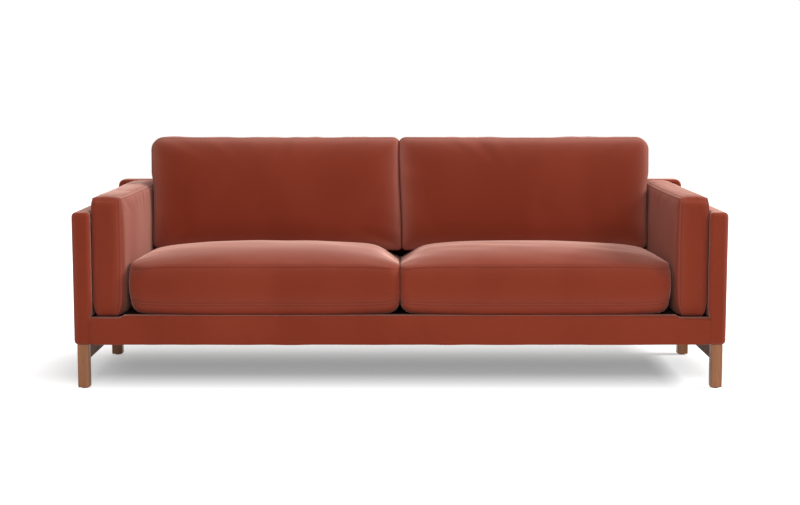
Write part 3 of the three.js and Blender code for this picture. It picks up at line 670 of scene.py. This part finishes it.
def box_cushion(
    skin, half, corner, seams, crowns, bulge, tuck, puckers, seam_sheen_size, seed,
    rest=None, on_edge=False, crown=None,
):
    """A crowned cushion drawn as an outline with its thickness along the third axis. Seams and crowns
    give the lower panel's first. The wall is the boxing: it bulges between the two seams, and halfway
    along a side the seams are drawn in. The panels rise to their crowns, and near a corner the seams
    are tucked towards each other. The lower panel may have a crown function of its own. Where it
    rests on something, it rolls under by a quarter of an ellipse instead and is flat. Then rest gives
    how far it falls, how wide the roll is, how far it is drawn in, how much further at a corner, and
    how full it is halfway down. Each seam is a low ridge between two fine grooves, where its
    allowances end, and short puckers run out from it and die away. The side that a cushion on edge
    stands on is plain. The seam sheen size is how strong a painted sheen along a seam is, and how far
    it reaches. Gives the points and the velvet's marks: painted shade in the grooves, painted sheen."""
    u, v, w = skin.T
    on_wall = np.abs(w) < 1
    to_edge = (1 - np.abs(skin[:, :2])) * half
    level = seams[0] + (seams[1] - seams[0]) * (1 + w) / 2
    level = level - w * tuck * np.abs(u * v) ** tuck_power
    low_rise = crown(u, half[0]) * crown(v, half[1]) if crown else rise(u) * rise(v)
    height = np.where(w > 0, crowns[1] * rise(u) * rise(v), -crowns[0] * low_rise)
    belly = 0 * u
    flat = skin.copy()
    if rest:
        fall, roll, pinch, corner_pinch, full = rest
        below = w == -1
        near_corner = np.exp(-to_edge[:, ::-1] / corner_reach)
        pinch = pinch + corner_pinch * near_corner
        rolled = np.minimum(to_edge / roll, 1) * np.pi / 2
        onwards = pinch + (to_edge - roll) * (half - pinch) / (half - roll)
        inset = np.where(to_edge < roll, pinch * (1 - np.cos(rolled)), onwards)
        moved_in = np.sign(skin[:, :2]) * (1 - inset / half)
        flat[:, :2] = np.where(below[:, None], moved_in, skin[:, :2])
        height = np.where(below, -fall * np.sin(rolled).prod(1), height)
        belly = np.where(below, full * np.sin(2 * rolled.min(1)) * (1 - near_corner.max(1)), 0)
    reach = np.maximum(np.abs(skin[:, :2]).max(1), 1e-9)
    edge = skin[:, :2] / reach[:, None]
    _, outwards = spread_over(skin, *half, corner)
    halfway = (np.abs(outwards) * (1 - edge[:, ::-1] ** 2)).sum(1)
    off_corner = (np.abs(outwards) * (1 - edge[:, ::-1] ** 8)).sum(1)
    free = 1 - np.clip(-outwards[:, 1], 0, 1) if on_edge else 1.0
    push = free * (off_corner * bulge * (1 - w**4) - halfway * seam_draw) + belly
    plane, _ = spread_over(flat, *half, corner, push)
    form = np.column_stack([plane, level + height])

    # Puckers run out from a seam, so they vary with the place along it, and only a little with w.
    on_panel = np.hypot(to_edge.min(1), np.where(w > 0, height, 0))
    to_seam = np.where(on_wall, (1 - np.abs(w)) * (seams[1] - seams[0]) / 2, on_panel)
    along_seam = np.column_stack([edge * half, 0.3 * w])
    fade = to_seam / pucker_reach
    pucker = waves(along_seam, 0.05, 0.16, count=40, seed=seed) * fade * np.exp(1 - fade)
    ridge = np.exp(-((to_seam / ridge_width) ** 2))
    groove = np.exp(-(((to_seam - seam_allowance) / groove_width) ** 2))
    swell = waves(form, 0.13, 0.4, count=22, seed=seed + 5) * soft_step(to_seam, 0, swell_reach)
    relief = puckers * pucker + ridge_height * ridge - groove_depth * groove + swell_height * swell
    out = free * relief

    # The relief stands out across the wall and through a panel, and turns between them at a seam.
    near = np.exp(-to_seam / seam_turn)
    across, through = np.where(on_wall, 1.0, near), np.where(on_wall, near, 1.0)
    if rest:
        across = np.where(below, np.maximum(across, np.cos(rolled.min(1))), across)
        through = np.where(below, 0, through)
    out = out / np.maximum(np.hypot(across, through), 0.1)
    form[:, :2] += outwards * (across * out)[:, None]
    form[:, 2] += np.sign(w) * through * out
    return form, {"drawn": groove, "seam_sheen": seam_sheen_size[0] * np.exp(-to_seam / seam_sheen_size[1])}


def soft_max(value, floor, blend):
    """The larger of two values, with a rounded corner between them."""
    return (value + floor + np.sqrt((value - floor) ** 2 + blend**2)) / 2


front_face = rail_low.y
back_cushion_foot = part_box("back_cushion_right")[0].z
back_cushion_half = np.array([0.454, 0.20435])
back_cushion_middle = 0.457  # from the middle of the sofa
back_seams = (back_low.y - 0.254, back_low.y - 0.029)
back_crowns = (0.046, 0.026)
back_cushion_skin, back_cushion_faces = box_skin(
    stations(2 * back_cushion_half[0], 0.0012, 0.008),
    stations(2 * back_cushion_half[1], 0.0012, 0.008),
    stations(back_seams[1] - back_seams[0], 0.0012, 0.008),
)
inner_end, upper_half = back_cushion_skin[:, 0] > 0, back_cushion_skin[:, 1] > 0
back_cushion_corner = np.where(
    inner_end, np.where(upper_half, 0.028, 0.018), np.where(upper_half, 0.048, 0.03)
)


def face_crown(share, half, shoulder=0.4, reach=0.026):
    """A face panel's crown: a round shoulder over its reach from the seam, then a long soft curve."""
    share = np.minimum(np.abs(share), 1)
    along = np.minimum((1 - share) * half / reach, 1)
    return shoulder * np.sqrt(1 - (1 - along) ** 2) + (1 - shoulder) * (1 - share**2.2) ** 0.8


def pressed(marks, x):
    """The marks where neighbours press on each other at the middle: painted shade, and no seam sheen."""
    contact = 1 - soft_step(x, 0.0008, 0.005)
    return {**marks, "seam_sheen": marks["seam_sheen"] * (1 - contact), "painted_shade": contact}


def loose_cushion(kind, side, points, faces, marks):
    """A cushion in velvet, which replaces its solid and rides on its own body."""
    name, body = f"{kind}_cushion_velvet_{side}", f"{side}_{kind}"
    cushion = new_piece(name, points, faces, velvet, "velvet", body, **marks)
    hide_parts(f"{kind}_cushion_{side}")


back_cushion_thick = back_seams[1] - back_seams[0]
arm_face = 0.916  # where the back cushions meet the inner faces of the arm cushions
middle_press = 0.006  # how far neighbours would reach into each other at the middle
press_round = 0.0012
for side, turn, seed in (("left", -1, 101), ("right", 1, 202)):
    form, marks = box_cushion(
        back_cushion_skin, back_cushion_half, back_cushion_corner, back_seams, back_crowns,
        bulge=0.005, tuck=0.012, puckers=0.0018, seam_sheen_size=(0.75, 0.021), seed=seed,
        on_edge=True, crown=face_crown,
    )
    x = back_cushion_middle - form[:, 0]
    z = back_cushion_foot + back_cushion_half[1] + form[:, 1]

    # The outer end stops at the arm cushion's face, and above that cushion it swells outwards.
    above_arms = soft_step(z, 0.625, 0.685)
    x = x + (0.004 + 0.008 * above_arms) * soft_step(x, 0.5, 0.9)
    x = x + (-soft_max(-x, -arm_face, 0.002) - x) * (1 - above_arms)

    # The inner ends press on each other, along a line that wanders about the middle of the sofa.
    near_middle = 1 - soft_step(x, 0, 0.12)
    x = soft_max(x - middle_press * near_middle, clearance, press_round)
    marks = pressed(marks, x)
    share = np.clip((form[:, 2] - back_seams[0]) / back_cushion_thick, 0, 1)
    wander = 0.0065 - 0.0105 * soft_step(z, 0.45, 0.75) + 0.005 * np.sin(np.pi * share)
    x = turn * x + wander * near_middle

    # The top is square to the leaning faces, so it falls to the rear.
    z = z + rake * back_cushion_thick * (0.28 - share) * soft_step(z, 0.6, 0.8)
    points = lean(np.column_stack([x, form[:, 2], z]))
    loose_cushion("back", side, points, back_cushion_faces[:, ::turn], marks)


# Seat cushions
# Loose box cushions like the back cushions. The deck flattens them below, they slope down to their
# rear seams, and the back cushions press into them.
seam_room = 0.0025  # what a seat cushion leaves to the seam of the back cushion


def under_back_cushion(x, y):
    """The height up to which a seat cushion may stand below the back cushion. There the back
    cushion's front face, seam - crown * face_crown(u) * face_crown(v), is as far back as y. Its lean
    depends on the height that is sought, so the height is worked out in a few rounds."""
    across = face_crown((np.abs(x) - back_cushion_middle) / back_cushion_half[0], back_cushion_half[0])
    up = np.linspace(0, 1, 600) ** 2
    crown_up = face_crown(1 - up, back_cushion_half[1])
    z = back_cushion_foot + 0 * x
    for _ in range(4):
        ahead = back_seams[0] + rake * (z - back_low.z) - y - seam_room
        share = np.clip(ahead / np.maximum(back_crowns[0] * across, 1e-6), 0, 1)
        z = back_cushion_foot + np.interp(share, crown_up, up) * back_cushion_half[1]
    return np.where(share < 1, z, 1.0) - clearance


seat_seams = (0.285, 0.415)  # above the floor
seat_crowns = (0, 0.043)
# Its fall to the deck, roll, pinch, corner pinch and fullness.
seat_rest = (seat_seams[0] - rail_top - clearance, 0.056, 0.011, 0.05, 0.003)
seat_rear_drop = 0.021  # how far the rear seams lie below the front ones
seat_middle_drop = 0.042  # how far the tops fall towards each other at the rear
seat_bulge = 0.007
outer_bulge = 0.002  # where an arm cushion holds the boxing in
seat_front = front_face + 0.016
seat_rear = back_low.y + rake * (rail_top - back_low.z) - 0.004 - seat_bulge
seat_half = np.array([0.44725, (seat_rear - seat_front) / 2])
seat_middle = (0.45375, (seat_rear + seat_front) / 2)
# The lattice is finer where the back cushions' fronts press in.
press = (back_seams[0] - back_crowns[0] - seat_middle[1]) / seat_half[1]
seat_skin, seat_faces = box_skin(
    stations(2 * seat_half[0], 0.0012, 0.008),
    np.union1d(stations(2 * seat_half[1], 0.0012, 0.008), np.linspace(press, press + 0.25, 40)),
    stations(seat_seams[1] - seat_seams[0], 0.0012, 0.007),
)
for side, turn, seed in (("left", -1, 303), ("right", 1, 404)):
    # The corners are rounder at the seams than halfway up the boxing, and the inner front ones least.
    outwards = seat_skin[:, 0] * turn
    inner_front = (outwards < 0) & (seat_skin[:, 1] < 0)
    flare = np.where(inner_front, 0.02, np.where(seat_skin[:, 2] < 0, 0.03, 0.05))
    seat_corner = np.where(inner_front, 0.022, 0.04) + flare * seat_skin[:, 2] ** 2
    upper_tuck = np.where(outwards > 0, 0.015, 0.011)
    form, marks = box_cushion(
        seat_skin, seat_half, seat_corner, seat_seams, seat_crowns,
        bulge=np.where(outwards > 0.9, outer_bulge, seat_bulge),
        tuck=np.where(seat_skin[:, 2] < 0, 0.01, upper_tuck),
        puckers=0.0006, seam_sheen_size=(0.1, 0.018), seed=seed, rest=seat_rest,
    )

    # The inner ends press on each other, and the outer ends widen to the arm cushions.
    x = seat_middle[0] + turn * form[:, 0]
    x = x - middle_press * (1 - soft_step(x, 0, 0.1)) + 0.009 * soft_step(x, 0.7, 0.88)
    x = soft_max(x, clearance, press_round)
    marks = pressed(marks, x)
    if side == "right":  # a little painted shade all over, to even it with the left one
        marks["painted_shade"] = np.maximum(marks["painted_shade"], 0.12)
    x = turn * x
    y = seat_middle[1] + form[:, 1]
    z = form[:, 2]

    # The tops fall towards each other, towards the rear, and to where the back cushions stand.
    sunk = np.exp(-((x / 0.055) ** 2)) * soft_step(y, seat_front + 0.03, seat_front + 0.5)
    z = z - seat_middle_drop * sunk * soft_step(z, seat_seams[0], seat_seams[1])
    share = np.clip((y - seat_front) / (seat_rear - seat_front), 0, 1)
    raised = np.maximum(z - seat_seams[0], 0) / (seat_seams[1] - seat_seams[0])
    z = z - raised * share**1.5 * seat_rear_drop
    z = -soft_max(-z, -under_back_cushion(x, y), 0.004)
    z = np.maximum(z, rail_top + clearance)
    loose_cushion("seat", side, np.column_stack([x, y, z]), seat_faces, marks)


# Arm cushions
# Loose box cushions that stand on edge inside the arms. Their rear ends lean with the back unit,
# and their weight presses them a little into the deck.
arm_cushion_front = front_face + 0.038
arm_cushion_top = 0.645
arm_cushion_bulge = 0.01
arm_cushion_rear = back_low.y + rake * (rail_top - back_low.z) - 0.004 - arm_cushion_bulge
arm_cushion_foot = rail_top + clearance - arm_sink
arm_seams = (0.934, 1.031)  # from the middle of the sofa
arm_crowns = (0.018, 0.004)
arm_top_round = 0.013  # the radius of the upper outer edge


def arm_crown(share, half):
    """A face crown with a large round shoulder."""
    return face_crown(share, half, 0.5, 0.03)


arm_cushion_half = np.array([
    (arm_cushion_rear - arm_cushion_front) / 2,
    (arm_cushion_top - arm_cushion_bulge + seam_draw - arm_cushion_foot) / 2,
])
arm_cushion_skin, arm_cushion_faces = box_skin(
    stations(2 * arm_cushion_half[0], 0.0012, 0.008),
    stations(2 * arm_cushion_half[1], 0.0012, 0.008),
    stations(arm_seams[1] - arm_seams[0], 0.0012, 0.006),
)
at_foot = (arm_cushion_skin[:, 0] < 0) & (arm_cushion_skin[:, 1] < 0)
arm_cushion_corner = np.where(at_foot, 0.01, 0.026)
arm_tuck = np.where(arm_cushion_skin[:, 1] < 0, 0.018, 0.004)
for side, turn, seed in (("left", -1, 505), ("right", 1, 606)):
    form, marks = box_cushion(
        arm_cushion_skin, arm_cushion_half, arm_cushion_corner, arm_seams, arm_crowns,
        bulge=arm_cushion_bulge, tuck=arm_tuck, puckers=0.0005, seam_sheen_size=(0.15, 0.011), seed=seed,
        on_edge=True, crown=arm_crown,
    )
    y = arm_cushion_front + arm_cushion_half[0] + form[:, 0]
    z = arm_cushion_foot + arm_cushion_half[1] + form[:, 1]
    share = np.clip((y - arm_cushion_front) / (arm_cushion_rear - arm_cushion_front), 0, 1)
    y = y + (z - arm_cushion_foot) * rake * share

    # Whatever lies past the round of the upper outer edge is drawn back onto it.
    past_x = np.clip((form[:, 2] - form[:, 2].max()) / arm_top_round + 1, 0, None)
    past_z = np.clip((z - z.max()) / arm_top_round + 1, 0, None)
    excess = arm_top_round * (1 - 1 / np.maximum(np.hypot(past_x, past_z), 1))
    z = z - past_z * excess

    # The faces stop at the other cushions and at the arm unit.
    x = soft_max(form[:, 2] - past_x * excess, arm_face + clearance, 0.002)
    at_front = 1 - soft_step(y, front_face + 0.06, front_face + 0.12)
    x = -soft_max(-x, clearance - arm_low.x + front_swell * at_front, 0.001)
    points = np.column_stack([turn * x, y, z])
    if side == "right":  # painted shade: most painted sheen goes from its inner panel, and some from the rest
        marks["painted_shade"] = np.where(arm_cushion_skin[:, 2] == -1, 0.9, 0.35)
    loose_cushion("arm", side, points, arm_cushion_faces[:, ::turn], marks)


# Studio
# A plain pale floor that keeps the sofa's shadow. The key is a soft light high on the right. Wide
# soft lights overhead, in front and behind fill the shade, and a low one reaches under the sofa.
def seen_directly(tree):
    """1 for the camera and for what gloss and glass show, and 0 for the light that falls."""
    path = tree.nodes.new("ShaderNodeLightPath")
    seen = path.outputs["Is Camera Ray"]
    for ray in ("Is Glossy Ray", "Is Transmission Ray"):
        larger = tree.nodes.new("ShaderNodeMath")
        larger.operation = "MAXIMUM"
        tree.links.new(seen, larger.inputs[0])
        tree.links.new(path.outputs[ray], larger.inputs[1])
        seen = larger.outputs[0]
    return seen


floor_finish = Finish("studio_floor", roughness=0.9, specular_ior_level=0.0)
speck = floor_finish.noise(400, 2)
floor_finish.show(floor_finish.mix(speck, (0.79, 0.79, 0.79), (0.81, 0.81, 0.81)))
seen = Varying(floor_finish, seen_directly(floor_finish.tree))


def past(place, edge, slope):
    """How far a place lies past an edge along each axis, times a slope for each axis."""
    for operation, value in (("SUBTRACT", edge), ("MULTIPLY", slope), ("MAXIMUM", (0, 0, 0))):
        place = floor_finish.node("VectorMath", {"operation": operation}, {0: place, 1: value})
    return place


# Seen directly, the floor glows white away from the sofa and dimmer below it, where it paints the
# soft edges of the sofa's shadow over the real one: a painted shadow. This light falls on nothing.
sideways = floor_finish.node("VectorMath", {"operation": "ABSOLUTE"}, {0: floor_finish.place})
away = past(sideways, (0.95, 0, 0), (1.4, 0, 0))
for edge, slope in ((0.42, 1.15), (0.3, -2.2)):
    ahead = past(floor_finish.place, (0, front_face + edge, 0), (0, slope, 0))
    away = floor_finish.node("VectorMath", {"operation": "ADD"}, {0: away, 1: ahead})
distance = floor_finish.node("VectorMath", {"operation": "LENGTH"}, {0: away}, output=1)
glow_with_painted_shadow = floor_finish.mix(distance.between(0, 1), (0.3, 0.3, 0.3), (1, 1, 1))
glow_with_painted_shadow = floor_finish.mix(seen, (0, 0, 0), glow_with_painted_shadow)
floor_finish.feed(floor_finish.shader.inputs["Emission Color"], glow_with_painted_shadow)
floor_finish.shader.inputs["Emission Strength"].default_value = 1.0
floor_half = 9
floor_corners = [(x * floor_half, y * floor_half, 0) for x, y in ((-1, -1), (1, -1), (1, 1), (-1, 1))]
floor_mesh = bpy.data.meshes.new("floor")
floor_mesh.from_pydata(floor_corners, [], [(0, 1, 2, 3)])
floor_mesh.materials.append(floor_finish.material)
floor = bpy.data.objects.new("floor", floor_mesh)
bpy.context.scene.collection.objects.link(floor)

# Seen directly, the world is white, and it lights the sofa with a dim grey.
world = bpy.data.worlds.new("studio")
world.use_nodes = True
backdrop = world.node_tree.nodes["Background"]
colour = world.node_tree.nodes.new("ShaderNodeMix")
colour.data_type = "RGBA"
colour.inputs[6].default_value = (0.2, 0.2, 0.2, 1)
colour.inputs[7].default_value = (1, 1, 1, 1)
world.node_tree.links.new(seen_directly(world.node_tree), colour.inputs[0])
world.node_tree.links.new(colour.outputs[2], backdrop.inputs["Color"])
bpy.context.scene.world = world


def soft_light(name, place, turn, size, power):
    """A rectangular soft light at a place, turned by degrees about X, Y and Z."""
    data = bpy.data.lights.new(name, "AREA")
    data.shape = "RECTANGLE"
    data.size, data.size_y = size
    data.energy = power
    light = bpy.data.objects.new(name, data)
    light.location = place
    light.rotation_euler = np.radians(turn)
    bpy.context.scene.collection.objects.link(light)


soft_light("overhead", (0, 0.1, 3.2), (0, 0, 0), (3.4, 2.4), 31)
soft_light("front", (0, -6.0, 3.0), (66, 0, 0), (3.6, 2.0), 125)
soft_light("low_front", (0, front_face - 2.4, 0.16), (94, 0, 0), (3.4, 0.28), 9)
soft_light("key", (6.6, 0.2, 5.0), (54, 0, 92), (2.5, 2.5), 430)
soft_light("behind", (0, 3.4, 1.9), (-62, 0, 0), (4.4, 1.4), 36)

camera_data = bpy.data.cameras.new("camera")
camera_data.lens = 69.66
camera_data.sensor_width = 36
camera = bpy.data.objects.new("camera", camera_data)
camera.location = (0, front_face - 5.1, 1.065)
camera.rotation_euler = (np.radians(83.256), 0, 0)
bpy.context.scene.collection.objects.link(camera)
bpy.context.scene.camera = camera
bpy.context.scene.view_settings.view_transform = "Standard"
